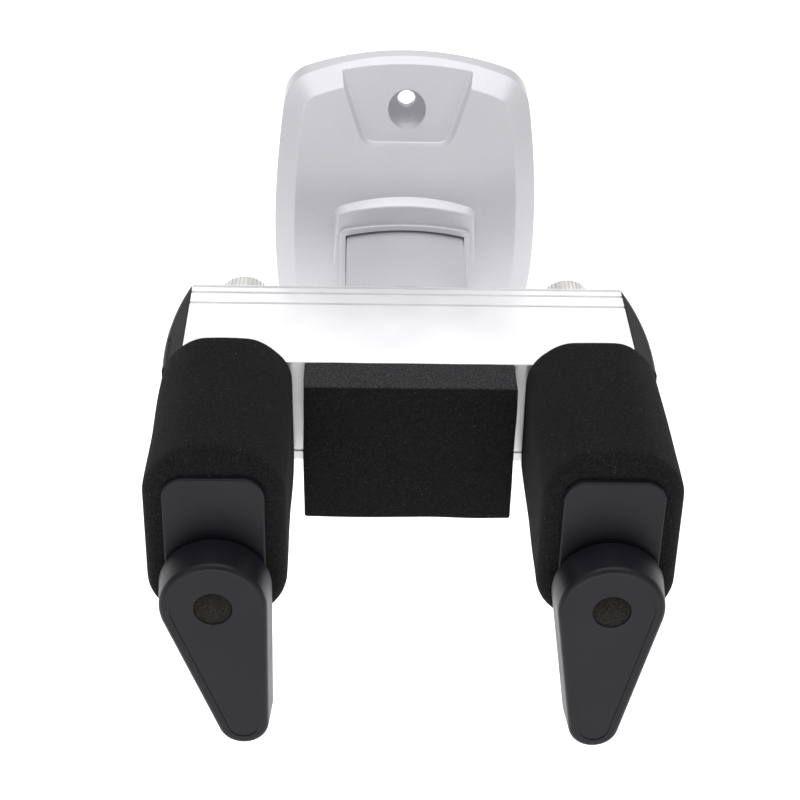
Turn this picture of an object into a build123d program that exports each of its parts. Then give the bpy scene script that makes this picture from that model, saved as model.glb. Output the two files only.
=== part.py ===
from build123d import *
import os
from math import cos, radians, sin, tan

# A padded wall cradle: a cast wall plate and neck carry a hollow aluminium crossbar. Two padded
# arms telescope out of the ends of the crossbar, each locked by a thumb knob behind it, and each
# arm ends in a lever that turns up as a keeper for whatever lies across the arms.
#
# The wall is the plane Y = 0 and +Y points into it. X runs along the crossbar, Z is up, and the
# origin is the middle of the wall plate's back. Everything is in millimetres.

os.makedirs("parts", exist_ok=True)

# ---- wall plate -------------------------------------------------------------------------------
plate_width = 96.6
plate_height = 128.6
plate_side_bulge = 4.7
plate_top_bulge = 9.0
plate_corner_radius = 13.0
plate_depth = 24.8
plate_crown_drop = 15.0
plate_edge_radius = 1.0
plate_bevel_wall = 4.2
plate_bevel_face = 7.2
plate_wall = 5.0
cavity_top = 28.0
cavity_bottom = -38.0
cavity_depth = 17.5
cavity_corner_radius = 4.0
wall_pad_thickness = 1.0
wall_hole_height = 46.6
wall_hole_spacing = 95.0
wall_hole_radius = 3.3
wall_hole_length = 3.0
wall_step_radius = 4.6
wall_step_length = 4.2
wall_head_radius = 6.9
wall_cone_length = 7.6
recess_depth = 3.7
recess_below_hole = 11.9
recess_half_width = 15.2
recess_flare = 0.332
recess_corner_radius = 5.0
recess_draft = 20.0
recess_edge_radius = 0.7
hood_edge_radius = 0.9
hood_corner_radius = 2.0

# ---- hood and collar round the neck -----------------------------------------------------------
hood_half_width = 27.0
hood_top = 16.6
hood_arch = 5.0
hood_bottom = -14.0
hood_draft = 30.0
hood_front = 27.5
hood_front_height = 12.9
hood_lean = 6.5
collar_width = 2.2
collar_front = 28.5
collar_lean = 8.0
collar_edge_radius = 0.5

# ---- crossbar ---------------------------------------------------------------------------------
bar_length = 150.0
bar_depth = 52.0
bar_height = 38.7
bar_top = 4.0
bar_rear = 69.5
bar_wall = 2.8
bar_web = 2.2
bar_edge_radius = 0.6
ridge_places = (1.6, 5.8, 13.2)
ridge_width = 1.4
ridge_depth = 0.7
front_groove_height = 3.9

# ---- neck -------------------------------------------------------------------------------------
neck_width = 43.2
neck_crown = 2.8
neck_wall = 3.5
neck_front_wall = 5.0
neck_bottom_radius = 3.0
neck_top_radius = 0.8
neck_web = 3.0
neck_top_gap = 1.0
bar_screw_rise = 8.85
bar_screw_spacing = 22.0
bar_screw_radius = 2.5
bar_screw_head_radius = 4.2
bar_screw_head_height = 3.0
bar_screw_socket_radius = 2.0
nut_plate_thickness = 4.0
nut_plate_length = 36.0
nut_plate_height = 11.0
neck_side_gap = 0.35
flange_width = 70.0
flange_top = 14.0
flange_bottom = -36.5
flange_thickness = 6.5
flange_corner_radius = 3.0
flange_head_radius = 4.2
flange_head_height = 2.6
flange_socket_radius = 2.0
flange_screw_x = 29.0
flange_screw_z = (8.0, -30.0)
flange_boss_radius = 5.2
flange_screw_radius = 2.5
flange_screw_grip = 9.0

# ---- arms -------------------------------------------------------------------------------------
arm_setback = 15.6
arm_width = 30.4
arm_top = 7.2
arm_height = 48.5
arm_top_radius = 6.5
arm_bottom_radius = 10.0
arm_end = 194.4
arm_end_radius = 0.6
shell_wall = 2.5
foam_thickness = 6.1
foam_setback = 1.9
flange_plate = 3.0
flange_lip = 2.5
cap_thickness = 5.6
cap_rear_thickness = 0.8
cap_bow = 1.0
cap_bow_place = 21.0
cap_edge_radius = 2.4
arm_travel = 40.0
post_width = 17.0
post_below_top = 10.2
post_above_bottom = 4.3
post_wall = 3.0
post_end_wall = 6.5
end_plate_thickness = 2.2
end_plate_setback = 9.5
front_plate_rise = 9.4
shell_screw_drop = 5.8
shell_screw_inset = 18.0
shell_screw_radius = 1.5
shell_screw_head_radius = 2.1
shell_screw_head_height = 1.4
shell_screw_recess = 2.8
shell_boss_radius = 3.0

# ---- tongue, knob and pad ---------------------------------------------------------------------
tongue_depth = 20.6
tongue_height = 18.4
tongue_inner_end = 10.0
knob_setback = 17.5
knob_radius = 10.0
knob_edge = 0.5
knob_thickness = 9.0
knob_gap = 1.6
knurl_count = 48
knurl_width = 0.7
stud_engagement = 8.0
stud_radius = 3.0
nut_radius = 5.0
pad_radius = 4.6
pad_thickness = 1.6
pad_groove_depth = 2.2

# ---- levers -----------------------------------------------------------------------------------
lever_rise = 11.3
lever_hub_radius = 16.0
lever_tip_radius = 7.7
lever_reach = 46.0
lever_thickness = 12.0
lever_draft = 5.0
lever_edge_radius = 1.8
lever_panel_inset = 3.0
lever_panel_depth = 0.25
lever_wall = 2.6
lever_pocket_depth = 7.5
lever_swing = {"left": 10.0, "right": 2.3}
boss_radius = 14.0
boss_height = 1.0
washer_thickness = 0.8
washer_radius = 8.0
hub_boss_radius = 9.5
plug_radius = 5.8
plug_thickness = 2.0
plug_setback = 0.4
head_radius = 5.2
head_height = 4.0
head_socket_radius = 2.3
head_overlap = 1.0
thread_overrun = 2.0
shoulder_radius = 3.5
thread_radius = 3.0

# ---- bumper and fits --------------------------------------------------------------------------
bumper_width = 69.0
bumper_thickness = 15.8
bumper_height = 51.3
slide_clearance = 0.2
running_clearance = 0.05
seat_clearance = 0.02
part_gap = 0.3

# ---- places that follow from the sizes above --------------------------------------------------
plate_crown_radius = ((plate_height / 2) ** 2 + plate_crown_drop**2) / (2 * plate_crown_drop)
bar_bottom = bar_top - bar_height
bar_front = bar_rear + bar_depth
bar_middle = bar_top - bar_height / 2
neck_half = neck_width / 2
arm_x = bar_length / 2 - arm_setback
knob_x = bar_length / 2 - knob_setback
cavity_width = plate_width - 2 * plate_wall
channel_height = tongue_height + 2 * slide_clearance
channel_depth = tongue_depth + 2 * slide_clearance
channel_top = bar_top - bar_wall
channel_bottom = channel_top - channel_height
knob_z = channel_top - channel_height / 2
arm_bottom = arm_top - arm_height
arm_middle = arm_top - arm_height / 2
arm_root = bar_front + part_gap
flange_end = arm_root + flange_plate
sleeve_end = arm_end - foam_setback
lever_z = arm_bottom + lever_rise
boss_end = arm_end + boss_height
lever_back = boss_end + washer_thickness + 2 * running_clearance
lever_front = lever_back + lever_thickness
plug_front = lever_front - plug_setback
head_front = plug_front - plug_thickness - part_gap
head_back = head_front - head_height
post_end = arm_end - shell_wall - slide_clearance
cap_start = bar_length / 2 + part_gap
cap_outside = cap_start + cap_thickness


def at_wall_distance(distance):
    """The plane parallel to the wall, this far in front of it, facing the room."""
    return Plane.XZ.offset(distance)


def crown_depth(height):
    """How far the plate's crowned face stands in front of the wall at this height."""
    centre = plate_crown_radius - plate_depth
    return (plate_crown_radius**2 - height**2) ** 0.5 - centre


def plate_outline(inset):
    """The plate's outline, bowed on all four sides, moved in by the inset."""
    corner_x = plate_width / 2 - plate_side_bulge
    corner_z = plate_height / 2 - plate_top_bulge
    with BuildSketch(Plane.XZ) as outline:
        with BuildLine():
            ThreePointArc((-corner_x, corner_z), (0, plate_height / 2), (corner_x, corner_z))
            ThreePointArc((corner_x, corner_z), (plate_width / 2, 0), (corner_x, -corner_z))
            ThreePointArc((corner_x, -corner_z), (0, -plate_height / 2), (-corner_x, -corner_z))
            ThreePointArc((-corner_x, -corner_z), (-plate_width / 2, 0), (-corner_x, corner_z))
        make_face()
        fillet(outline.vertices(), plate_corner_radius)
        if inset:
            offset(amount=-inset, mode=Mode.REPLACE)
    return outline.sketch


def arched_outline(plane, half_width, top, arch, bottom, corner=0.0):
    """A straight-sided outline with an arched top, which drops by the arch at its rounded corners."""
    with BuildSketch(plane) as outline:
        with BuildLine():
            ThreePointArc((-half_width, top - arch), (0, top), (half_width, top - arch))
            Polyline(
                (half_width, top - arch),
                (half_width, bottom),
                (-half_width, bottom),
                (-half_width, top - arch),
            )
        make_face()
        if corner:
            fillet(outline.vertices().group_by(Axis.Y)[-1], corner)
    return outline.sketch


def lean_cutter(depth, height, lean):
    """All the space in front of a plane that leans back towards the wall as it goes down."""
    reach = plate_height
    shift = reach * tan(radians(lean))
    with BuildPart() as cutter:
        with BuildSketch(Plane.YZ):
            with BuildLine():
                Polyline(
                    (-depth - shift, height + reach),
                    (-depth + shift, height - reach),
                    (-depth - reach, height - reach),
                    (-depth - reach, height + reach),
                    close=True,
                )
            make_face()
        extrude(amount=plate_width, both=True)
    return cutter.part


def arm_section(plane, grow):
    """The arm's rounded section, grown outwards: small corners on top, large ones below."""
    with BuildSketch(plane) as section:
        with Locations((arm_x, arm_middle)):
            Rectangle(arm_width + 2 * grow, arm_height + 2 * grow)
        fillet(section.vertices().group_by(Axis.Y)[-1], arm_top_radius + grow)
        fillet(section.vertices().group_by(Axis.Y)[0], arm_bottom_radius + grow)
    return section.sketch


def lever_outline(plane, swing, inset):
    """The lever's teardrop, hanging from its hub and swung inwards by this many degrees."""
    tip_x = arm_x - lever_reach * sin(radians(swing))
    tip_z = lever_z - lever_reach * cos(radians(swing))
    with BuildSketch(plane) as outline:
        with Locations((arm_x, lever_z)):
            Circle(lever_hub_radius - inset)
        with Locations((tip_x, tip_z)):
            Circle(lever_tip_radius - inset)
        make_hull()
    return outline.sketch


# ---- wall plate: one casting with a crowned face, a bevelled rim and a boss for each screw -----
hood_root = plate_depth - 4.0
hood_grow = (crown_depth(hood_top) - hood_root) * tan(radians(hood_draft))
with BuildPart() as hood:
    hood_half_root = hood_half_width + hood_grow
    hood_top_root = hood_top + hood_grow
    extrude(
        arched_outline(
            at_wall_distance(hood_root),
            hood_half_root,
            hood_top_root,
            hood_arch,
            hood_bottom,
            hood_corner_radius + hood_grow,
        ),
        amount=collar_front - hood_root,
        taper=hood_draft,
    )
    add(lean_cutter(hood_front, hood_front_height, hood_lean), mode=Mode.SUBTRACT)
    hood_face = hood.faces().sort_by(Axis.Y)[0]
    fillet(hood_face.edges().sort_by(Axis.Z)[1:], hood_edge_radius)

opening_half = neck_half + neck_side_gap
opening_top = bar_top + neck_top_gap
opening_bottom = bar_bottom - neck_top_gap
with BuildPart() as collar:
    extrude(
        arched_outline(
            at_wall_distance(hood_root),
            opening_half + collar_width,
            opening_top + collar_width,
            neck_crown,
            opening_bottom - collar_width,
        ),
        amount=collar_front + collar_width - hood_root,
    )
    fillet(collar.edges().filter_by(Axis.Y), collar_width)
    add(lean_cutter(collar_front, opening_top + collar_width, collar_lean), mode=Mode.SUBTRACT)
    fillet(collar.faces().sort_by(Axis.Y)[0].edges(), collar_edge_radius)

flange_places = [(x, z) for x in (-flange_screw_x, flange_screw_x) for z in flange_screw_z]
slope = wall_hole_height / plate_crown_radius
floor_depth = crown_depth(wall_hole_height) - recess_depth / cos(slope)
recess_plane = Plane(
    origin=(0, -floor_depth, wall_hole_height),
    x_dir=(1, 0, 0),
    z_dir=(0, -cos(slope), sin(slope)),
)
recess_length = plate_height / 2 - wall_hole_height + recess_below_hole
recess_top_half = recess_half_width + recess_flare * 1.5 * recess_length
with BuildPart() as recess:
    with BuildSketch(recess_plane) as recess_sketch:
        with BuildLine():
            Polyline(
                (-recess_half_width, -recess_below_hole),
                (recess_half_width, -recess_below_hole),
                (recess_top_half, 1.5 * recess_length - recess_below_hole),
                (-recess_top_half, 1.5 * recess_length - recess_below_hole),
                close=True,
            )
        make_face()
        fillet(recess_sketch.vertices().group_by(Axis.Y)[0], recess_corner_radius)
    extrude(amount=plate_depth, taper=-recess_draft)
    recess_floor = recess.faces().filter_by(recess_plane).sort_by(Axis.Y)[-1]
    fillet(recess_floor.edges(), recess_edge_radius)

with BuildPart() as cavity:
    with BuildSketch(Plane.XZ):
        with Locations((0, (cavity_top + cavity_bottom) / 2)):
            RectangleRounded(cavity_width, cavity_top - cavity_bottom, cavity_corner_radius)
    extrude(amount=cavity_depth)

with BuildPart() as wall_plate:
    extrude(plate_outline(0), amount=plate_depth)
    with BuildSketch(Plane.YZ):
        with Locations((plate_crown_radius - plate_depth, 0)):
            Circle(plate_crown_radius)
    extrude(amount=plate_width, both=True, mode=Mode.INTERSECT)
    crown = wall_plate.faces().sort_by(Axis.Y)[0]
    chamfer(crown.edges(), length=plate_bevel_face, length2=plate_bevel_wall, reference=crown)
    crown = wall_plate.faces().sort_by(Axis.Y)[0]
    fillet(crown.edges(), plate_edge_radius)
    add(hood.part)
    add(collar.part)
    add(recess.part, mode=Mode.SUBTRACT)
    add(cavity.part, mode=Mode.SUBTRACT)
    with BuildSketch(at_wall_distance(flange_thickness)):
        with Locations(*flange_places):
            Circle(flange_boss_radius)
    extrude(amount=cavity_depth - flange_thickness)
    with BuildSketch(at_wall_distance(flange_thickness)):
        with Locations(*flange_places):
            Circle(flange_screw_radius + seat_clearance)
    extrude(amount=flange_screw_grip + part_gap, mode=Mode.SUBTRACT)
    extrude(
        arched_outline(Plane.XZ, opening_half, opening_top, neck_crown, opening_bottom),
        amount=plate_depth + collar_front,
        mode=Mode.SUBTRACT,
    )
    for height in (wall_hole_height, wall_hole_height - wall_hole_spacing):
        with BuildSketch(Plane.XY.offset(height)):
            with BuildLine():
                Polyline(
                    (0, 1),
                    (wall_hole_radius, 1),
                    (wall_hole_radius, -wall_hole_length),
                    (wall_step_radius, -wall_step_length),
                    (wall_head_radius, -wall_cone_length),
                    (wall_head_radius, -2 * plate_depth),
                    (0, -2 * plate_depth),
                    close=True,
                )
            make_face()
        revolve(axis=Axis((0, 0, height), (0, 1, 0)), mode=Mode.SUBTRACT)
wall_plate.part.label = "wall_plate"
export_step(wall_plate.part, "parts/wall_plate.step")


# ---- neck: a hollow casting, its flange behind the plate and its front wall on the crossbar -----
def neck_section(plane, inset):
    """The neck's section, flat sided with a crowned top, moved in by the inset."""
    half = neck_half - inset
    top = bar_top - inset
    corner = 0.0 if inset else neck_top_radius
    return arched_outline(plane, half, top, neck_crown * half / neck_half, bar_bottom + inset, corner)


bar_screw_z = bar_bottom + bar_screw_rise
flange_head_seat = wall_pad_thickness + flange_head_height + slide_clearance
with BuildPart() as neck:
    with BuildSketch(at_wall_distance(wall_pad_thickness)):
        with Locations((0, (flange_top + flange_bottom) / 2)):
            RectangleRounded(flange_width, flange_top - flange_bottom, flange_corner_radius)
    extrude(amount=flange_thickness - wall_pad_thickness)
    extrude(neck_section(at_wall_distance(wall_pad_thickness), 0), amount=bar_rear - wall_pad_thickness)
    long_edges = neck.edges().filter_by(Axis.Y).filter_by(lambda edge: edge.length > bar_rear / 2)
    fillet(long_edges.sort_by(Axis.Z)[:2], neck_bottom_radius)
    extrude(neck_section(Plane.XZ, neck_wall), amount=bar_rear - neck_front_wall, mode=Mode.SUBTRACT)
    with BuildSketch(at_wall_distance(wall_pad_thickness)):
        with Locations((0, bar_middle)):
            Rectangle(neck_web, bar_height - neck_wall)
    extrude(amount=bar_rear - neck_front_wall - wall_pad_thickness)
    with BuildSketch(at_wall_distance(wall_pad_thickness)):
        with Locations(*flange_places):
            Circle(flange_screw_radius + slide_clearance)
    extrude(amount=flange_thickness, mode=Mode.SUBTRACT)
    with BuildSketch(at_wall_distance(wall_pad_thickness)):
        with Locations(*flange_places):
            Circle(flange_head_radius + slide_clearance)
    extrude(amount=flange_head_seat - wall_pad_thickness, mode=Mode.SUBTRACT)
    with BuildSketch(at_wall_distance(bar_rear - neck_front_wall)):
        with Locations((0, bar_screw_z)):
            with GridLocations(bar_screw_spacing, 0, 2, 1):
                Circle(bar_screw_radius + slide_clearance)
    extrude(amount=neck_front_wall, mode=Mode.SUBTRACT)
neck.part.label = "neck"
export_step(neck.part, "parts/neck.step")


# ---- wall pad: a thin rubber sheet behind the neck's flange, level with the plate's rim ---------
with BuildPart() as wall_pad:
    with BuildSketch(Plane.XZ):
        with Locations((0, (cavity_top + cavity_bottom) / 2)):
            RectangleRounded(
                cavity_width - 2 * part_gap,
                cavity_top - cavity_bottom - 2 * part_gap,
                cavity_corner_radius - part_gap,
            )
    extrude(amount=wall_pad_thickness)
wall_pad.part.label = "wall_pad"
export_step(wall_pad.part, "parts/wall_pad.step")

# ---- crossbar: an aluminium extrusion with a guide channel along its rear for the two tongues ---
channel_front = bar_rear + bar_wall + channel_depth
with BuildPart() as crossbar:
    with BuildSketch(Plane.YZ):
        with Locations((-(bar_rear + bar_front) / 2, bar_middle)):
            RectangleRounded(bar_depth, bar_height, bar_edge_radius)
        with BuildLine():
            Polyline(
                (-bar_rear - bar_wall, channel_top),
                (-channel_front, channel_top),
                (-channel_front, channel_bottom),
                (-bar_rear - bar_wall, channel_bottom),
                close=True,
            )
        make_face(mode=Mode.SUBTRACT)
        with BuildLine():
            Polyline(
                (-bar_rear - bar_wall, channel_bottom - bar_web),
                (-channel_front, channel_bottom - bar_web),
                (-channel_front, bar_bottom + bar_wall),
                (-bar_rear - bar_wall, bar_bottom + bar_wall),
                close=True,
            )
        make_face(mode=Mode.SUBTRACT)
        for high, low in (
            (channel_top, bar_middle + bar_web / 2),
            (bar_middle - bar_web / 2, bar_bottom + bar_wall),
        ):
            with BuildLine():
                Polyline(
                    (-channel_front - bar_web, high),
                    (-bar_front + bar_wall, high),
                    (-bar_front + bar_wall, low),
                    (-channel_front - bar_web, low),
                    close=True,
                )
            make_face(mode=Mode.SUBTRACT)
        for place in ridge_places:
            with Locations((-bar_rear - place, bar_top)):
                Rectangle(ridge_width, 2 * ridge_depth, mode=Mode.SUBTRACT)
        with Locations((-bar_front, bar_bottom + front_groove_height)):
            Rectangle(2 * ridge_depth, ridge_depth, mode=Mode.SUBTRACT)
    extrude(amount=bar_length / 2, both=True)
    with BuildSketch(at_wall_distance(bar_rear)):
        with Locations((-knob_x, knob_z), (knob_x, knob_z)):
            Circle(nut_radius)
        with Locations((0, bar_screw_z)):
            with GridLocations(bar_screw_spacing, 0, 2, 1):
                Circle(bar_screw_radius + slide_clearance)
    extrude(amount=bar_wall, mode=Mode.SUBTRACT)
crossbar.part.label = "crossbar"
export_step(crossbar.part, "parts/crossbar.step")

# ---- screws that hold the neck's flange in the plate, and the neck to the crossbar --------------
with BuildPart() as flange_screws:
    with BuildSketch(at_wall_distance(flange_head_seat - flange_head_height)):
        with Locations(*flange_places):
            Circle(flange_head_radius)
            RegularPolygon(flange_socket_radius, 6, mode=Mode.SUBTRACT)
    extrude(amount=flange_head_height)
    with BuildSketch(at_wall_distance(flange_head_seat - flange_head_height / 2)):
        with Locations(*flange_places):
            Circle(flange_screw_radius)
    extrude(amount=flange_thickness - flange_head_seat + flange_head_height / 2 + flange_screw_grip)
flange_screws.part.label = "neck_flange_screws"
export_step(flange_screws.part, "parts/neck_flange_screws.step")

nut_plate_start = bar_rear + bar_wall + seat_clearance
with BuildPart() as nut_plate:
    with BuildSketch(at_wall_distance(nut_plate_start)):
        with Locations((0, bar_screw_z)):
            RectangleRounded(nut_plate_length, nut_plate_height, 1)
            with GridLocations(bar_screw_spacing, 0, 2, 1):
                Circle(bar_screw_radius + seat_clearance, mode=Mode.SUBTRACT)
    extrude(amount=nut_plate_thickness)
nut_plate.part.label = "bar_nut_plate"
export_step(nut_plate.part, "parts/bar_nut_plate.step")

bar_screw_seat = bar_rear - neck_front_wall - seat_clearance
bar_screw_end = nut_plate_start + nut_plate_thickness
with BuildPart() as bar_screws:
    with BuildSketch(at_wall_distance(bar_screw_seat - bar_screw_head_height)):
        with Locations((0, bar_screw_z)):
            with GridLocations(bar_screw_spacing, 0, 2, 1):
                Circle(bar_screw_head_radius)
                RegularPolygon(bar_screw_socket_radius, 6, mode=Mode.SUBTRACT)
    extrude(amount=bar_screw_head_height)
    with BuildSketch(at_wall_distance(bar_screw_seat - bar_screw_head_height / 2)):
        with Locations((0, bar_screw_z)):
            with GridLocations(bar_screw_spacing, 0, 2, 1):
                Circle(bar_screw_radius)
    extrude(amount=bar_screw_end - bar_screw_seat + bar_screw_head_height / 2)
bar_screws.part.label = "bar_screws"
export_step(bar_screws.part, "parts/bar_screws.step")

# ---- bumper: a closed-cell foam block stuck to the front of the crossbar ------------------------
with BuildPart() as bumper:
    with BuildSketch(at_wall_distance(bar_front)):
        with Locations((0, bar_top - bumper_height / 2)):
            RectangleRounded(bumper_width, bumper_height, 1.0)
    extrude(amount=bumper_thickness)
bumper.part.label = "bumper_foam"
export_step(bumper.part, "parts/bumper_foam.step")

# ---- everything below is built on the right-hand side, and mirrored for the left ---------------
post_half = post_width / 2
post_top = arm_top - post_below_top
post_bottom = arm_bottom + post_above_bottom
shell_screw_z = arm_top - shell_screw_drop
shell_screw_places = (arm_root + shell_screw_inset, arm_end - shell_screw_inset)
end_plate_start = bar_rear + end_plate_setback
front_plate_width = cap_start + end_plate_thickness - arm_x + post_half
front_plate_x = arm_x - post_half + front_plate_width / 2
front_plate_low = arm_bottom + front_plate_rise
front_plate_height = bar_top - bar_wall - front_plate_low
front_plate_z = front_plate_low + front_plate_height / 2
tongue_start = bar_rear + bar_wall + slide_clearance
groove_inner = knob_x - arm_travel - pad_radius - part_gap
groove_outer = knob_x + pad_radius + part_gap
pad_front = tongue_start + pad_groove_depth - running_clearance
for side in ("left", "right"):
    mirrored = side == "left"
    swing = lever_swing[side]

    # arm bracket: aluminium casting; a tongue in the crossbar, round its end, and a post forward
    with BuildPart() as bracket:
        with BuildSketch(Plane.YZ.offset(tongue_inner_end)):
            with Locations((-tongue_start - tongue_depth / 2, knob_z)):
                Rectangle(tongue_depth, tongue_height)
        extrude(amount=cap_start - tongue_inner_end)
        with BuildSketch(Plane.YZ.offset(groove_inner)):
            with Locations((-tongue_start, knob_z)):
                Rectangle(2 * pad_groove_depth, 2 * pad_radius + 2 * running_clearance)
        extrude(amount=groove_outer - groove_inner, mode=Mode.SUBTRACT)
        with BuildSketch(Plane.YZ.offset(cap_start)):
            with Locations((-(end_plate_start + arm_root + flange_plate) / 2, bar_middle)):
                Rectangle(arm_root + flange_plate - end_plate_start, bar_height - 2 * bar_wall)
        extrude(amount=end_plate_thickness)
        with BuildSketch(at_wall_distance(arm_root)):
            with Locations((front_plate_x, front_plate_z)):
                Rectangle(front_plate_width, front_plate_height)
        extrude(amount=flange_plate)
        with BuildSketch(at_wall_distance(arm_root)):
            with Locations((arm_x, (post_top + post_bottom) / 2)):
                RectangleRounded(2 * post_half, post_top - post_bottom, 2)
        extrude(amount=post_end - arm_root)
        with BuildSketch(at_wall_distance(arm_root)):
            with Locations((arm_x, (post_top + post_bottom) / 2)):
                Rectangle(2 * (post_half - post_wall), post_top - post_bottom - 2 * post_wall)
        extrude(amount=post_end - post_end_wall - arm_root, mode=Mode.SUBTRACT)
        with BuildSketch(at_wall_distance(post_end - post_end_wall)):
            with Locations((arm_x, lever_z)):
                Circle(thread_radius + seat_clearance)
        extrude(amount=post_end_wall, mode=Mode.SUBTRACT)
        if mirrored:
            mirror(about=Plane.YZ, mode=Mode.REPLACE)
    bracket.part.label = f"{side}_arm_bracket"
    export_step(bracket.part, f"parts/{side}_arm_bracket.step")

    # arm moulding, whole: end cap over the crossbar's end, flange, and the hollow arm itself
    with BuildPart() as moulding:
        with BuildSketch(Plane.XY.offset(bar_bottom)):
            with BuildLine():
                ThreePointArc(
                    (cap_start + cap_rear_thickness, -bar_rear),
                    (cap_outside - cap_bow, -bar_rear - cap_bow_place),
                    (cap_outside, -bar_front),
                )
                Polyline(
                    (cap_outside, -bar_front),
                    (cap_outside, -flange_end),
                    (cap_start, -flange_end),
                    (cap_start, -bar_rear),
                    (cap_start + cap_rear_thickness, -bar_rear),
                )
            make_face()
        extrude(amount=bar_height)
        outer_edges = moulding.edges().filter_by(GeomType.CIRCLE)
        fillet(outer_edges, cap_edge_radius)
        extrude(arm_section(at_wall_distance(arm_root), 0), amount=arm_end - arm_root)
        fillet(moulding.faces().sort_by(Axis.Y)[0].edges(), arm_end_radius)
        extrude(arm_section(at_wall_distance(arm_root), flange_lip), amount=flange_plate)
        extrude(
            arm_section(at_wall_distance(arm_root), -shell_wall),
            amount=arm_end - shell_wall - arm_root,
            mode=Mode.SUBTRACT,
        )
        with BuildSketch(at_wall_distance(arm_end - shell_wall / 2)):
            with Locations((arm_x, lever_z)):
                Circle(boss_radius)
        extrude(amount=boss_height + shell_wall / 2)
        with BuildSketch(at_wall_distance(arm_end - shell_wall)):
            with Locations((arm_x, lever_z)):
                Circle(shoulder_radius + slide_clearance)
        extrude(amount=shell_wall + boss_height, mode=Mode.SUBTRACT)
        with BuildSketch(Plane.YZ.offset(arm_x - arm_width / 2 + shell_wall / 2)):
            with Locations(*[(-place, shell_screw_z) for place in shell_screw_places]):
                Circle(shell_boss_radius)
        extrude(amount=arm_width - shell_wall)
        with BuildSketch(Plane.YZ.offset(arm_x - arm_width / 2)):
            with Locations(*[(-place, shell_screw_z) for place in shell_screw_places]):
                Circle(shell_screw_radius + seat_clearance)
        extrude(amount=arm_width - shell_wall, mode=Mode.SUBTRACT)
        with BuildSketch(Plane.YZ.offset(arm_x - arm_width / 2)):
            with Locations(*[(-place, shell_screw_z) for place in shell_screw_places]):
                Circle(shell_screw_head_radius + slide_clearance)
        extrude(amount=shell_screw_recess, mode=Mode.SUBTRACT)
        # room for the bracket's tongue, end plate and front plate
        plate_fit = bar_height / 2 - bar_wall + slide_clearance
        with BuildSketch(Plane.YZ.offset(cap_start)):
            with Locations((-(end_plate_start + flange_end) / 2, bar_middle)):
                Rectangle(flange_end - end_plate_start + 2 * slide_clearance, 2 * plate_fit)
        extrude(amount=end_plate_thickness + slide_clearance, mode=Mode.SUBTRACT)
        with BuildSketch(at_wall_distance(arm_root)):
            with Locations((front_plate_x, front_plate_z)):
                Rectangle(front_plate_width + 2 * slide_clearance, front_plate_height + 2 * slide_clearance)
        extrude(amount=flange_plate + slide_clearance, mode=Mode.SUBTRACT)

    with BuildPart() as outer_shell:
        add(moulding.part)
        split(bisect_by=Plane.YZ.offset(arm_x), keep=Keep.TOP)
        if mirrored:
            mirror(about=Plane.YZ, mode=Mode.REPLACE)
    outer_shell.part.label = f"{side}_arm_outer_shell"
    export_step(outer_shell.part, f"parts/{side}_arm_outer_shell.step")

    with BuildPart() as inner_shell:
        add(moulding.part)
        split(bisect_by=Plane.YZ.offset(arm_x), keep=Keep.BOTTOM)
        if mirrored:
            mirror(about=Plane.YZ, mode=Mode.REPLACE)
    inner_shell.part.label = f"{side}_arm_inner_shell"
    export_step(inner_shell.part, f"parts/{side}_arm_inner_shell.step")

    # two screws clamp the shell halves together under the foam
    shell_screw_x = arm_x - arm_width / 2 + shell_screw_recess - shell_screw_head_height - slide_clearance
    with BuildPart() as shell_screws:
        with BuildSketch(Plane.YZ.offset(shell_screw_x)):
            with Locations(*[(-place, shell_screw_z) for place in shell_screw_places]):
                Circle(shell_screw_head_radius)
        extrude(amount=shell_screw_head_height)
        with BuildSketch(Plane.YZ.offset(shell_screw_x + shell_screw_head_height / 2)):
            with Locations(*[(-place, shell_screw_z) for place in shell_screw_places]):
                Circle(shell_screw_radius)
        extrude(amount=arm_width - 2 * shell_wall)
        if mirrored:
            mirror(about=Plane.YZ, mode=Mode.REPLACE)
    shell_screws.part.label = f"{side}_shell_screws"
    export_step(shell_screws.part, f"parts/{side}_shell_screws.step")

    # foam sleeve pulled over the arm and its flange, and notched round the end cap
    with BuildPart() as sleeve:
        extrude(arm_section(at_wall_distance(arm_root), foam_thickness), amount=sleeve_end - arm_root)
        extrude(
            arm_section(at_wall_distance(arm_root), seat_clearance),
            amount=sleeve_end - arm_root,
            mode=Mode.SUBTRACT,
        )
        extrude(
            arm_section(at_wall_distance(arm_root), flange_lip + seat_clearance),
            amount=flange_plate + slide_clearance,
            mode=Mode.SUBTRACT,
        )
        with BuildSketch(at_wall_distance(arm_root)):
            with Locations((cap_start - slide_clearance + cap_thickness, bar_middle)):
                Rectangle(2 * cap_thickness, bar_height + 2 * slide_clearance)
        extrude(amount=flange_plate + slide_clearance, mode=Mode.SUBTRACT)
        if mirrored:
            mirror(about=Plane.YZ, mode=Mode.REPLACE)
    sleeve.part.label = f"{side}_foam_sleeve"
    export_step(sleeve.part, f"parts/{side}_foam_sleeve.step")

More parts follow.
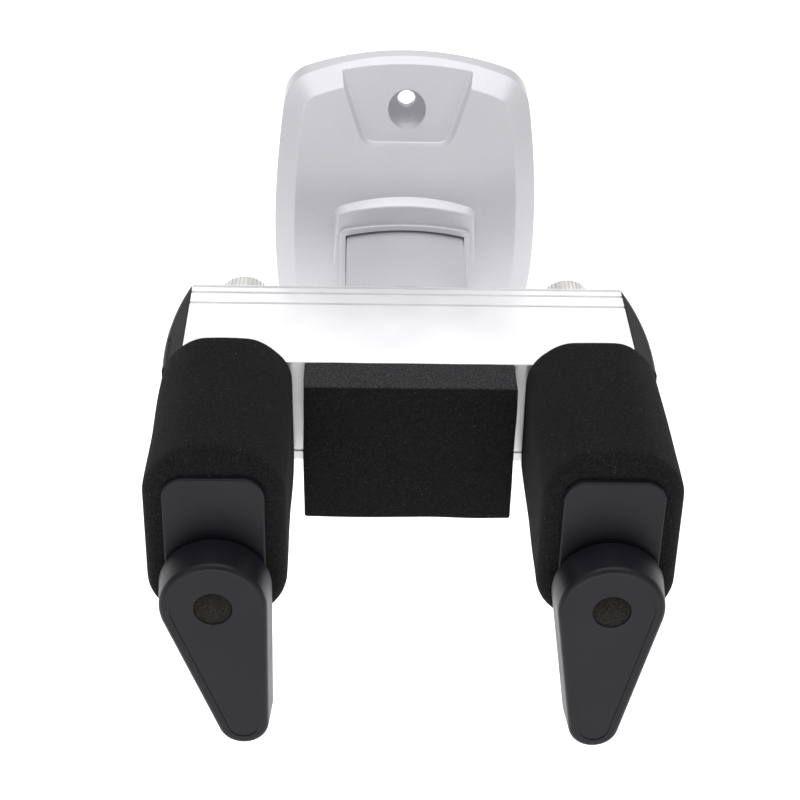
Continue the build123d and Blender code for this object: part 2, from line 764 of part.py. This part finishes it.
    # lever: a teardrop moulding, hollow behind, bored for its shoulder screw
    with BuildPart() as lever:
        lever_spread = lever_thickness * tan(radians(lever_draft))
        loft(
            [
                lever_outline(at_wall_distance(lever_back), swing, -lever_spread),
                lever_outline(at_wall_distance(lever_front), swing, 0),
            ],
            ruled=True,
        )
        fillet(lever.faces().sort_by(Axis.Y)[0].edges(), lever_edge_radius)
        extrude(
            lever_outline(at_wall_distance(lever_front - lever_panel_depth), swing, lever_panel_inset),
            amount=lever_panel_depth,
            mode=Mode.SUBTRACT,
        )
        with BuildSketch(at_wall_distance(lever_back)):
            add(lever_outline(Plane.XY, swing, lever_wall))
            with Locations((arm_x, lever_z)):
                Circle(hub_boss_radius, mode=Mode.SUBTRACT)
        extrude(amount=lever_pocket_depth, mode=Mode.SUBTRACT)
        with BuildSketch(at_wall_distance(head_back)):
            with Locations((arm_x, lever_z)):
                Circle(plug_radius + seat_clearance)
        extrude(amount=lever_front - head_back, mode=Mode.SUBTRACT)
        with BuildSketch(at_wall_distance(lever_back)):
            with Locations((arm_x, lever_z)):
                Circle(shoulder_radius + running_clearance)
        extrude(amount=lever_thickness, mode=Mode.SUBTRACT)
        if mirrored:
            mirror(about=Plane.YZ, mode=Mode.REPLACE)
    lever.part.label = f"{side}_lever"
    export_step(lever.part, f"parts/{side}_lever.step")

    # shoulder screw that the lever turns on, screwed into the end of the bracket's post
    with BuildPart() as lever_screw:
        with BuildSketch(at_wall_distance(head_back + running_clearance)):
            with Locations((arm_x, lever_z)):
                Circle(head_radius)
                RegularPolygon(head_socket_radius, 6, mode=Mode.SUBTRACT)
        extrude(amount=head_height)
        with BuildSketch(at_wall_distance(post_end + seat_clearance)):
            with Locations((arm_x, lever_z)):
                Circle(shoulder_radius)
        extrude(amount=head_back + head_overlap - post_end)
        with BuildSketch(at_wall_distance(post_end - post_end_wall - thread_overrun)):
            with Locations((arm_x, lever_z)):
                Circle(thread_radius)
        extrude(amount=post_end_wall + thread_overrun + head_overlap)
        if mirrored:
            mirror(about=Plane.YZ, mode=Mode.REPLACE)
    lever_screw.part.label = f"{side}_lever_screw"
    export_step(lever_screw.part, f"parts/{side}_lever_screw.step")

    # friction washer between the arm's boss and the lever
    with BuildPart() as washer:
        with BuildSketch(at_wall_distance(boss_end + seat_clearance)):
            with Locations((arm_x, lever_z)):
                Circle(washer_radius)
                Circle(shoulder_radius + running_clearance, mode=Mode.SUBTRACT)
        extrude(amount=washer_thickness)
        if mirrored:
            mirror(about=Plane.YZ, mode=Mode.REPLACE)
    washer.part.label = f"{side}_lever_washer"
    export_step(washer.part, f"parts/{side}_lever_washer.step")

    # foam plug that covers the screw's head
    with BuildPart() as plug:
        with BuildSketch(at_wall_distance(plug_front - plug_thickness)):
            with Locations((arm_x, lever_z)):
                Circle(plug_radius)
        extrude(amount=plug_thickness)
        if mirrored:
            mirror(about=Plane.YZ, mode=Mode.REPLACE)
    plug.part.label = f"{side}_lever_plug"
    export_step(plug.part, f"parts/{side}_lever_plug.step")

    # threaded insert in the crossbar's rear wall
    with BuildPart() as knob_nut:
        with BuildSketch(at_wall_distance(bar_rear)):
            with Locations((knob_x, knob_z)):
                Circle(nut_radius - seat_clearance)
                Circle(stud_radius + running_clearance, mode=Mode.SUBTRACT)
        extrude(amount=bar_wall)
        if mirrored:
            mirror(about=Plane.YZ, mode=Mode.REPLACE)
    knob_nut.part.label = f"{side}_knob_nut"
    export_step(knob_nut.part, f"parts/{side}_knob_nut.step")

    # nylon pad that the knob's stud presses on the tongue
    with BuildPart() as pad:
        with BuildSketch(at_wall_distance(pad_front - pad_thickness)):
            with Locations((knob_x, knob_z)):
                Circle(pad_radius - running_clearance)
        extrude(amount=pad_thickness)
        if mirrored:
            mirror(about=Plane.YZ, mode=Mode.REPLACE)
    pad.part.label = f"{side}_knob_pad"
    export_step(pad.part, f"parts/{side}_knob_pad.step")

    # thumb knob: a knurled head on a threaded stud, shown plain
    knob_front = bar_rear - knob_gap
    with BuildPart() as knob_head:
        with BuildSketch(at_wall_distance(knob_front - knob_thickness)):
            with Locations((knob_x, knob_z)):
                Circle(knob_radius)
                Circle(stud_radius + seat_clearance, mode=Mode.SUBTRACT)
                with PolarLocations(knob_radius, knurl_count):
                    Rectangle(knurl_width, knurl_width, rotation=45, mode=Mode.SUBTRACT)
        extrude(amount=knob_thickness)
        with BuildSketch(Plane.XY.offset(knob_z)):
            for face_y in (-knob_front, -knob_front + knob_thickness):
                inward = -1 if face_y == -knob_front + knob_thickness else 1
                with BuildLine():
                    Polyline(
                        (knob_x + knob_radius - knob_edge, face_y),
                        (knob_x + knob_radius + knob_edge, face_y),
                        (knob_x + knob_radius + knob_edge, face_y + 2 * inward * knob_edge),
                        close=True,
                    )
                make_face()
        revolve(axis=Axis((knob_x, 0, knob_z), (0, 1, 0)), mode=Mode.SUBTRACT)
        if mirrored:
            mirror(about=Plane.YZ, mode=Mode.REPLACE)
    knob_head.part.label = f"{side}_knob_head"
    export_step(knob_head.part, f"parts/{side}_knob_head.step")

    stud_front = pad_front - pad_thickness - seat_clearance
    with BuildPart() as stud:
        with BuildSketch(at_wall_distance(knob_front - stud_engagement)):
            with Locations((knob_x, knob_z)):
                Circle(stud_radius)
        extrude(amount=stud_front - knob_front + stud_engagement)
        if mirrored:
            mirror(about=Plane.YZ, mode=Mode.REPLACE)
    stud.part.label = f"{side}_knob_stud"
    export_step(stud.part, f"parts/{side}_knob_stud.step")
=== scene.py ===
from math import pi, radians

import bmesh
import bpy
from mathutils import Matrix, Vector, noise


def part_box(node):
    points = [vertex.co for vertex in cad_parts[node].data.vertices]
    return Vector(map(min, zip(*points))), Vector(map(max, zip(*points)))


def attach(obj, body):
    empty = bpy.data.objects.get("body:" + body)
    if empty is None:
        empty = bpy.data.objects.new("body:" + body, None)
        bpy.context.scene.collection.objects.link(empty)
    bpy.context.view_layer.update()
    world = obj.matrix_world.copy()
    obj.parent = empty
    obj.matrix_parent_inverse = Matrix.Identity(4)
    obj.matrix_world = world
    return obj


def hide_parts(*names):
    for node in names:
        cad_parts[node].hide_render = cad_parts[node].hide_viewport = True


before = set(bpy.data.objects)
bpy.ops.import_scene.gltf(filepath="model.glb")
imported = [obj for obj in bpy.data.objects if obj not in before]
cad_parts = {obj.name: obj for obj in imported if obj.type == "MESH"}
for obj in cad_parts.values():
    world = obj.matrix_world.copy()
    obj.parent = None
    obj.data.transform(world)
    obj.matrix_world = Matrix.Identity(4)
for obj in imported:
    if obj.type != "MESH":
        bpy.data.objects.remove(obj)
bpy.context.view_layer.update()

# ---- wall plate and neck ----------------------------------------------------------------------
# Two die castings, sprayed with silver paint. The cast edges are slightly round, the paint holds
# a fine metallic fleck, and it lies a little unevenly from place to place.


def shader(tree, kind, inputs=None, **settings):
    """A shader node, its settings given by name, and each input either set or linked."""
    made = tree.nodes.new("ShaderNode" + kind)
    for name, value in settings.items():
        setattr(made, name, value)
    for socket, value in (inputs or {}).items():
        if isinstance(value, bpy.types.NodeSocket):
            tree.links.new(value, made.inputs[socket])
        else:
            made.inputs[socket].default_value = value
    return made


def effect_group(name, numbers, outputs):
    """An empty shader group with a place, the named numbers as inputs, and the named outputs."""
    group = bpy.data.node_groups.new(name, "ShaderNodeTree")
    group.interface.new_socket("Place", in_out="INPUT", socket_type="NodeSocketVector")
    for number in numbers:
        group.interface.new_socket(number, in_out="INPUT", socket_type="NodeSocketFloat")
    for output in outputs:
        group.interface.new_socket(output, in_out="OUTPUT", socket_type="NodeSocketFloat")
    return group, group.nodes.new("NodeGroupInput").outputs, group.nodes.new("NodeGroupOutput").inputs


def drift_group():
    """Slow change from place to place, between the low and the high number."""
    group, given, result = effect_group("drift", ("Scale", "Low", "High"), ("Value",))
    clouds = shader(group, "TexNoise", {"Vector": given["Place"], "Scale": given["Scale"], "Detail": 2.0})
    spread = shader(
        group,
        "MapRange",
        {"Value": clouds.outputs["Fac"], 1: 0.3, 2: 0.7, 3: given["Low"], 4: given["High"]},
    )
    group.links.new(spread.outputs["Result"], result["Value"])
    return group


def grain_group():
    """Fine relief: rounded cells of the given scale, broken up by finer noise."""
    group, given, result = effect_group("grain", ("Scale", "Roughening"), ("Height",))
    cells = shader(group, "TexVoronoi", {"Vector": given["Place"], "Scale": given["Scale"]}, feature="SMOOTH_F1")
    finer = shader(group, "Math", {0: given["Scale"], 1: 1.7}, operation="MULTIPLY")
    crumbs = shader(
        group, "TexNoise", {"Vector": given["Place"], "Scale": finer.outputs[0], "Detail": 3.0, "Roughness": 0.6}
    )
    share = shader(group, "Math", {0: crumbs.outputs["Fac"], 1: given["Roughening"]}, operation="MULTIPLY")
    total = shader(group, "Math", {0: cells.outputs["Distance"], 1: share.outputs[0]}, operation="ADD")
    group.links.new(total.outputs[0], result["Height"])
    return group


def speck_group():
    """Scattered small specks: one cell in so many holds a dot of the given size."""
    group, given, result = effect_group("specks", ("Scale", "Size", "Share"), ("Mask",))
    cells = shader(group, "TexVoronoi", {"Vector": given["Place"], "Scale": given["Scale"]})
    dot = shader(group, "Math", {0: cells.outputs["Distance"], 1: given["Size"]}, operation="LESS_THAN")
    lot = shader(group, "SeparateColor", {"Color": cells.outputs["Color"]})
    drawn = shader(group, "Math", {0: lot.outputs["Red"], 1: given["Share"]}, operation="LESS_THAN")
    mask = shader(group, "Math", {0: dot.outputs[0], 1: drawn.outputs[0]}, operation="MULTIPLY")
    group.links.new(mask.outputs[0], result["Mask"])
    return group


drift = drift_group()
grain = grain_group()
specks = speck_group()


def placed(tree, group, place, **numbers):
    """One of the shared effects, at work in a material with its own numbers."""
    made = shader(tree, "Group", node_tree=group)
    tree.links.new(place, made.inputs["Place"])
    for name, value in numbers.items():
        made.inputs[name.replace("_", " ").capitalize()].default_value = value
    return made.outputs[0]


def new_finish(name, **plain):
    """A material with a Principled shader: its plain values set, its tree and object place given."""
    finish = bpy.data.materials.new(name)
    finish.use_nodes = True
    tree = finish.node_tree
    surface = tree.nodes["Principled BSDF"]
    for socket, value in plain.items():
        surface.inputs[socket.replace("_", " ")].default_value = value
    place = tree.nodes.new("ShaderNodeTexCoord").outputs["Object"]
    return finish, tree, surface, place


def blend_colours(tree, amount, dark, light):
    """A colour between two, by a mask."""
    made = shader(tree, "Mix", {0: amount}, data_type="RGBA")
    made.inputs[6].default_value = (*dark, 1)
    made.inputs[7].default_value = (*light, 1)
    return made.outputs[2]


def mixed(tree, amount, under, over):
    """One colour over another where the mask is set. The upper one may be plain."""
    made = shader(tree, "Mix", {0: amount}, data_type="RGBA")
    tree.links.new(under, made.inputs[6])
    if isinstance(over, tuple):
        made.inputs[7].default_value = (*over, 1)
    else:
        tree.links.new(over, made.inputs[7])
    return made.outputs[2]


def silver_paint():
    fleck_scale = 2600
    finish, tree, surface, place = new_finish(
        "silver_paint", Metallic=0.35, Coat_Weight=0.12, Coat_Roughness=0.3, Specular_IOR_Level=0.5
    )
    fleck = shader(tree, "TexNoise", {"Vector": place, "Scale": fleck_scale, "Detail": 2.0})
    cloud = placed(tree, drift, place, scale=26, low=-0.12, high=0.12)
    tone = shader(tree, "Math", {0: fleck.outputs["Fac"], 1: cloud}, operation="ADD")
    colour = blend_colours(tree, tone.outputs[0], (0.54, 0.54, 0.565), (0.66, 0.66, 0.69))
    tree.links.new(colour, surface.inputs["Base Color"])
    tree.links.new(placed(tree, drift, place, scale=60, low=0.36, high=0.45), surface.inputs["Roughness"])
    peel = placed(tree, grain, place, scale=900, roughening=0.5)
    bump = shader(tree, "Bump", {"Height": peel, "Strength": 0.12, "Distance": 0.0001})
    tree.links.new(bump.outputs["Normal"], surface.inputs["Normal"])
    return finish


def dressed(finish, *names):
    """Gives CAD pieces their finish."""
    for name in names:
        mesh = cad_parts[name].data
        mesh.materials.clear()
        mesh.materials.append(finish)


dressed(silver_paint(), "wall_plate", "neck")

# ---- crossbar ---------------------------------------------------------------------------------
# An aluminium extrusion, blasted and clear anodised. The die leaves faint lines along it, which
# show on the top, and the blasting leaves a fine even grain.


def satin_aluminium():
    line_stretch = (9, 1500, 1500)
    finish, tree, surface, place = new_finish("satin_aluminium", Metallic=0.7)
    stretch = shader(tree, "Mapping", {"Vector": place, "Scale": line_stretch})
    lines = shader(tree, "TexNoise", {"Vector": stretch.outputs[0], "Scale": 1.0, "Detail": 2.0})
    blast = placed(tree, grain, place, scale=1500, roughening=0.9)
    tone = placed(tree, drift, place, scale=35, low=0.0, high=1.0)
    colour = blend_colours(tree, tone, (0.84, 0.84, 0.85), (0.93, 0.93, 0.94))
    tree.links.new(colour, surface.inputs["Base Color"])
    tree.links.new(placed(tree, drift, place, scale=90, low=0.28, high=0.36), surface.inputs["Roughness"])
    first = shader(tree, "Bump", {"Height": lines.outputs["Fac"], "Strength": 0.1, "Distance": 0.00008})
    second = shader(
        tree, "Bump", {"Height": blast, "Normal": first.outputs["Normal"], "Strength": 0.25, "Distance": 0.0001}
    )
    tree.links.new(second.outputs["Normal"], surface.inputs["Normal"])
    return finish


dressed(satin_aluminium(), "crossbar")

# ---- bumper -----------------------------------------------------------------------------------
# A block of closed-cell foam, cut from thick sheet and stuck to the front of the crossbar. Its
# front is the sheet's smooth skin; its top, bottom and sides are painted paler, a painted grazing light over open
# cells.


def black_foam(name, painted_lit_sides):
    """Dull foam with fine cells, a little lint and painted glints. If asked, faces that don't face front or back
    are painted paler: painted grazing light over open cells.
    """
    finish, tree, surface, place = new_finish(
        name, Roughness=0.95, Specular_IOR_Level=0.10, Sheen_Weight=0.02, Sheen_Roughness=0.5
    )
    cells = placed(tree, grain, place, scale=1900, roughening=1.2)
    pits = shader(tree, "MapRange", {"Value": cells, 1: 0.75, 2: 1.3})
    colour = blend_colours(tree, pits.outputs[0], (0.0030, 0.0030, 0.0034), (0.0130, 0.0130, 0.0138))
    # Painted glints: scattered specks a little paler than the foam, standing for sparkle where light catches it.
    painted_glints = placed(tree, specks, place, scale=1500, size=0.33, share=0.06)
    # Painted grazing light: faces that don't face front or back get a paler colour, broken by open-cell crumbs.
    if painted_lit_sides:
        ways = shader(tree, "SeparateXYZ", {0: shader(tree, "NewGeometry").outputs["Normal"]})
        across = shader(tree, "Math", {0: ways.outputs["Y"]}, operation="ABSOLUTE")
        painted_light_mask = shader(tree, "MapRange", {"Value": across.outputs[0], 1: 0.9, 2: 0.4})
        crumbs = placed(tree, grain, place, scale=2100, roughening=1.6)
        bright = shader(tree, "MapRange", {"Value": crumbs, 1: 0.95, 2: 1.5})
        painted_light_colour = blend_colours(tree, bright.outputs[0], (0.010, 0.0100, 0.0104), (0.056, 0.054, 0.058))
        colour = mixed(tree, painted_light_mask.outputs[0], colour, painted_light_colour)
    colour = mixed(tree, painted_glints, colour, (0.030, 0.030, 0.031))
    lint = placed(tree, specks, place, scale=430, size=0.09, share=0.07)
    colour = mixed(tree, lint, colour, (0.09, 0.09, 0.09))
    tree.links.new(colour, surface.inputs["Base Color"])
    bump = shader(tree, "Bump", {"Height": cells, "Strength": 0.8, "Distance": 0.00025})
    tree.links.new(bump.outputs["Normal"], surface.inputs["Normal"])
    return finish


def keep_piece(form, name, finish, body, slot, *nodes):
    """Turns a finished form into an object that rides on a body and stands for CAD nodes."""
    mesh = bpy.data.meshes.new(name)
    form.to_mesh(mesh)
    form.free()
    mesh.materials.append(finish)
    mesh.shade_smooth()
    piece = bpy.data.objects.new(name, mesh)
    bpy.context.collection.objects.link(piece)
    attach(piece, body)
    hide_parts(*nodes)
    return piece


def waver(form, size, scale):
    """Moves each point a little along its normal, so that foam isn't dead flat."""
    form.normal_update()
    moves = [(point, point.normal * size * noise.noise(point.co * scale)) for point in form.verts]
    for point, move in moves:
        point.co += move


bumper_edge = 0.0009
bumper_cuts = 22
bumper_unevenness = 0.0004
bumper_wave_scale = 60
low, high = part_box("bumper_foam")
low, high = Vector(low), Vector(high)
form = bmesh.new()
bmesh.ops.create_cube(form, size=1)
bmesh.ops.scale(form, vec=high - low, verts=form.verts)
bmesh.ops.translate(form, vec=(low + high) / 2, verts=form.verts)
bmesh.ops.bevel(
    form, geom=form.edges, offset=bumper_edge, segments=3, profile=0.5, affect="EDGES", material=-1
)
shortest_long_edge = 0.01
long_edges = [edge for edge in form.edges if edge.calc_length() > shortest_long_edge]
bmesh.ops.subdivide_edges(form, edges=long_edges, cuts=bumper_cuts, use_grid_fill=True)
waver(form, bumper_unevenness, bumper_wave_scale)
bumper = keep_piece(form, "bumper", black_foam("bumper_foam", True), "frame", "black_foam", "bumper_foam")

# ---- foam sleeves -----------------------------------------------------------------------------
# Foam round the arms, crowned along the top and rounded at both ends. Each is a solid block with
# no bore, so the arm's own pieces pass through it. The skin is dull with a little lint on it.
top_radius = 0.0145
bottom_radius = 0.0161
rim_radius = 0.0042
sleeve_crown = 0.0015
crown_depth = 0.00336
flat_width = 0.006
flat_cuts = 7
long_length = 0.03
long_cuts = 24
corner_segments = 14
rim_segments = 5
sleeve_unevenness = 0.0005
sleeve_wave_scale = 45
sleeve_finish = black_foam("sleeve_foam", False)
for side in ("left", "right"):
    low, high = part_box(side + "_foam_sleeve")
    form = bmesh.new()
    corners = [(low[0], low[2]), (high[0], low[2]), (high[0], high[2]), (low[0], high[2])]
    points = [form.verts.new((x, high[1], z)) for x, z in corners]
    form.faces.new(points)
    for pair, radius in ((points[:2], bottom_radius), (points[2:], top_radius)):
        bmesh.ops.bevel(
            form, geom=pair, offset=radius, segments=corner_segments, profile=0.5, affect="VERTICES", material=-1
        )
    grown = bmesh.ops.extrude_face_region(form, geom=form.faces[:])["geom"]
    bmesh.ops.translate(
        form, vec=(0, low[1] - high[1], 0), verts=[part for part in grown if isinstance(part, bmesh.types.BMVert)]
    )
    bmesh.ops.recalc_face_normals(form, faces=form.faces)
    middle = Vector(((low[0] + high[0]) / 2, 0, (low[2] + high[2]) / 2))
    edges = []
    for edge in form.edges:
        across = abs(edge.verts[0].co.y - edge.verts[1].co.y) < 1e-6
        sharp = len(edge.link_faces) == 2 and edge.calc_face_angle() > radians(60)
        if across and sharp:
            edges.append(edge)
    bmesh.ops.bevel(
        form, geom=edges, offset=rim_radius, segments=rim_segments, profile=0.5, affect="EDGES", material=-1
    )
    flats = [edge for edge in form.edges if abs(edge.verts[0].co.x - edge.verts[1].co.x) > flat_width]
    bmesh.ops.subdivide_edges(form, edges=flats, cuts=flat_cuts, use_grid_fill=True)
    lengthwise = [edge for edge in form.edges if abs(edge.verts[0].co.y - edge.verts[1].co.y) > long_length]
    bmesh.ops.subdivide_edges(form, edges=lengthwise, cuts=long_cuts, use_grid_fill=True)
    half_width = (high[0] - low[0]) / 2
    for point in form.verts:
        nearness = max(0, (point.co.z - high[2] + crown_depth) / crown_depth)
        aside = (point.co.x - middle.x) / half_width
        point.co.z += sleeve_crown * nearness * (1 - aside * aside)
    waver(form, sleeve_unevenness, sleeve_wave_scale)
    sleeve = keep_piece(
        form, side + "_sleeve", sleeve_finish, side + "_arm", "black_foam", side + "_foam_sleeve"
    )

# ---- arm shells, end caps and levers ----------------------------------------------------------
# Glass-filled nylon mouldings in charcoal. The tool's fine spark texture makes them satin, and the
# edges are softly radiused.


def charcoal_plastic():
    finish, tree, surface, place = new_finish("charcoal_plastic", Specular_IOR_Level=0.19)
    tone = placed(tree, drift, place, scale=50, low=0.0, high=1.0)
    colour = blend_colours(tree, tone, (0.0062, 0.0058, 0.0088), (0.0088, 0.0082, 0.0118))
    dust = placed(tree, specks, place, scale=260, size=0.05, share=0.05)
    colour = mixed(tree, dust, colour, (0.07, 0.07, 0.075))
    tree.links.new(colour, surface.inputs["Base Color"])
    tree.links.new(placed(tree, drift, place, scale=80, low=0.35, high=0.42), surface.inputs["Roughness"])
    texture = placed(tree, grain, place, scale=3200, roughening=0.8)
    bump = shader(tree, "Bump", {"Height": texture, "Strength": 0.10, "Distance": 0.00008})
    tree.links.new(bump.outputs["Normal"], surface.inputs["Normal"])
    return finish


charcoal = charcoal_plastic()
for side in ("left", "right"):
    dressed(charcoal, side + "_arm_outer_shell", side + "_arm_inner_shell", side + "_lever")

# ---- lever plugs ------------------------------------------------------------------------------
# Discs punched from rough open foam, pressed over the head of each lever's screw so that the
# screw is hidden. Each is one flat disc with a slightly uneven rim.


def plug_foam():
    finish, tree, surface, place = new_finish("plug_foam", Roughness=0.95, Specular_IOR_Level=0.12)
    cells = placed(tree, grain, place, scale=1900, roughening=1.3)
    tone = shader(tree, "MapRange", {"Value": cells, 1: 0.7, 2: 1.35})
    colour = blend_colours(tree, tone.outputs[0], (0.005, 0.0045, 0.0042), (0.026, 0.024, 0.022))
    tree.links.new(colour, surface.inputs["Base Color"])
    bump = shader(tree, "Bump", {"Height": cells, "Strength": 0.8, "Distance": 0.0003})
    tree.links.new(bump.outputs["Normal"], surface.inputs["Normal"])
    return finish


plug_finish = plug_foam()
plug_segments = 56
plug_dip = 0.00012
plug_wave_scale = 900
for side in ("left", "right"):
    low, high = (Vector(corner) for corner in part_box(side + "_lever_plug"))
    centre = (low + high) / 2
    radius = (high.x - low.x) / 2
    form = bmesh.new()
    bmesh.ops.create_circle(form, cap_ends=True, radius=radius, segments=plug_segments)
    grown = bmesh.ops.extrude_face_region(form, geom=form.faces[:])["geom"]
    top = [part for part in grown if isinstance(part, bmesh.types.BMVert)]
    bmesh.ops.translate(form, vec=(0, 0, high.y - low.y), verts=top)
    for point in top:
        point.co.z -= plug_dip * (1 + noise.noise(point.co * plug_wave_scale))
    turn = Matrix.Translation((centre.x, high.y, centre.z)) @ Matrix.Rotation(pi / 2, 4, "X")
    bmesh.ops.transform(form, matrix=turn, verts=form.verts)
    bmesh.ops.recalc_face_normals(form, faces=form.faces)
    plug = keep_piece(
        form, side + "_plug", plug_finish, side + "_lever", "black_foam", side + "_lever_plug"
    )

# ---- clamp knobs ------------------------------------------------------------------------------
# Turned aluminium thumb knobs with a straight knurl, on plain steel studs that run through nuts
# pressed into the back of the crossbar.


def turned_metal(name, tint, roughness):
    """Metal off a lathe or a press: faint rings of tool marks round Y and a slight drift."""
    finish, tree, surface, place = new_finish(name, Metallic=1.0)
    stretch = shader(tree, "Mapping", {"Vector": place, "Scale": (300, 2500, 300)})
    marks = shader(tree, "TexNoise", {"Vector": stretch.outputs[0], "Scale": 1.0, "Detail": 1.0})
    tone = placed(tree, drift, place, scale=140, low=0.0, high=1.0)
    colour = blend_colours(tree, tone, [share * 0.9 for share in tint], tint)
    tree.links.new(colour, surface.inputs["Base Color"])
    worn = placed(tree, drift, place, scale=220, low=roughness - 0.06, high=roughness + 0.08)
    tree.links.new(worn, surface.inputs["Roughness"])
    bump = shader(tree, "Bump", {"Height": marks.outputs["Fac"], "Strength": 0.15, "Distance": 0.00005})
    tree.links.new(bump.outputs["Normal"], surface.inputs["Normal"])
    return finish


knob_metal = turned_metal("knob_metal", (0.88, 0.87, 0.84), 0.34)
zinc = turned_metal("zinc_steel", (0.62, 0.62, 0.64), 0.36)
for side in ("left", "right"):
    dressed(knob_metal, side + "_knob_head")
    dressed(zinc, side + "_knob_stud", side + "_knob_nut")

# ---- fixings and inner parts --------------------------------------------------------------------
# Zinc-plated screws and a nut plate hold the castings together, cast brackets carry the arms, and
# nylon pads and washers keep metal off metal. A rubber sheet backs the plate.


def moulded(name, dark, light, roughness, relief):
    """A plain moulded or cast surface: two close tones, a drift in gloss, and a fine relief."""
    finish, tree, surface, place = new_finish(name)
    tone = placed(tree, drift, place, scale=120, low=0.0, high=1.0)
    tree.links.new(blend_colours(tree, tone, dark, light), surface.inputs["Base Color"])
    gloss = placed(tree, drift, place, scale=200, low=roughness - 0.05, high=roughness + 0.05)
    tree.links.new(gloss, surface.inputs["Roughness"])
    fine = placed(tree, grain, place, scale=1400, roughening=0.8)
    bump = shader(tree, "Bump", {"Height": fine, "Strength": relief, "Distance": 0.0001})
    tree.links.new(bump.outputs["Normal"], surface.inputs["Normal"])
    return finish, surface


cast, cast_surface = moulded("cast_aluminium", (0.55, 0.55, 0.56), (0.66, 0.66, 0.67), 0.5, 0.35)
cast_surface.inputs["Metallic"].default_value = 0.9
nylon, _ = moulded("nylon", (0.70, 0.69, 0.65), (0.78, 0.77, 0.73), 0.45, 0.1)
rubber, _ = moulded("pad_rubber", (0.020, 0.020, 0.020), (0.032, 0.032, 0.032), 0.7, 0.3)
dressed(zinc, "neck_flange_screws", "bar_nut_plate", "bar_screws")
dressed(rubber, "wall_pad")
for side in ("left", "right"):
    dressed(zinc, side + "_shell_screws", side + "_lever_screw")
    dressed(nylon, side + "_knob_pad", side + "_lever_washer")
    dressed(cast, side + "_arm_bracket")

# ---- studio -----------------------------------------------------------------------------------
# A plain pale floor well below the holder, a wide soft box overhead, two in front, one low in
# front, one behind, and an even light all round.
floor_drop = 0.35
floor_size = 60.0
form = bmesh.new()
bmesh.ops.create_grid(form, x_segments=1, y_segments=1, size=floor_size / 2)
bmesh.ops.translate(form, vec=(0, 0, -floor_drop), verts=form.verts)
floor_mesh = bpy.data.meshes.new("floor")
form.to_mesh(floor_mesh)
form.free()
floor = bpy.data.objects.new("floor", floor_mesh)
bpy.context.collection.objects.link(floor)
floor_finish, _, floor_surface, _ = new_finish("floor", Roughness=0.9, Specular_IOR_Level=0.1)
floor_surface.inputs["Base Color"].default_value = (0.93, 0.93, 0.93, 1)
floor_surface.inputs["Emission Color"].default_value = (1, 1, 1, 1)
floor_surface.inputs["Emission Strength"].default_value = 0.62
floor_mesh.materials.append(floor_finish)


def soft_box(name, place, target, width, height, power):
    """A rectangular soft light, aimed at a point."""
    lamp = bpy.data.lights.new(name, "AREA")
    lamp.shape = "RECTANGLE"
    lamp.size = width
    lamp.size_y = height
    lamp.energy = power
    holder = bpy.data.objects.new(name, lamp)
    bpy.context.collection.objects.link(holder)
    holder.location = place
    holder.rotation_euler = (Vector(target) - Vector(place)).to_track_quat("-Z", "Y").to_euler()


soft_box("overhead", (0, -0.15, 1.3), (0, -0.1, 0), 1.6, 1.2, 12)
soft_box("behind", (0, 1.2, 1.0), (0, -0.1, 0), 1.6, 0.8, 4)
soft_box("front_low", (0, -1.1, -0.25), (0, -0.1, 0), 0.8, 0.3, 2.4)
soft_box("front_left", (-1.0, -1.3, 0.7), (0, -0.1, 0), 0.8, 0.8, 2.5)
soft_box("front_right", (1.0, -1.3, 0.7), (0, -0.1, 0), 0.8, 0.8, 2.0)

world = bpy.data.worlds.new("studio")
bpy.context.scene.world = world
world.use_nodes = True
world.node_tree.nodes["Background"].inputs["Color"].default_value = (1, 1, 1, 1)
world.node_tree.nodes["Background"].inputs["Strength"].default_value = 0.5
bpy.context.scene.view_settings.view_transform = "Standard"

# The camera stands in front of the holder and looks down on it.
camera_place = Vector((-0.0179, -0.6388, 0.3152))
camera_down = radians(32.177)
camera_aside = radians(1.654)
camera_roll = radians(1.478)
camera_lens = 83.04
lens = bpy.data.cameras.new("camera")
lens.lens = camera_lens
lens.sensor_width = 36
camera = bpy.data.objects.new("camera", lens)
bpy.context.collection.objects.link(camera)
camera.matrix_world = (
    Matrix.Translation(camera_place)
    @ Matrix.Rotation(-camera_aside, 4, "Z")
    @ Matrix.Rotation(pi / 2 - camera_down, 4, "X")
    @ Matrix.Rotation(camera_roll, 4, "Z")
)
bpy.context.scene.camera = camera
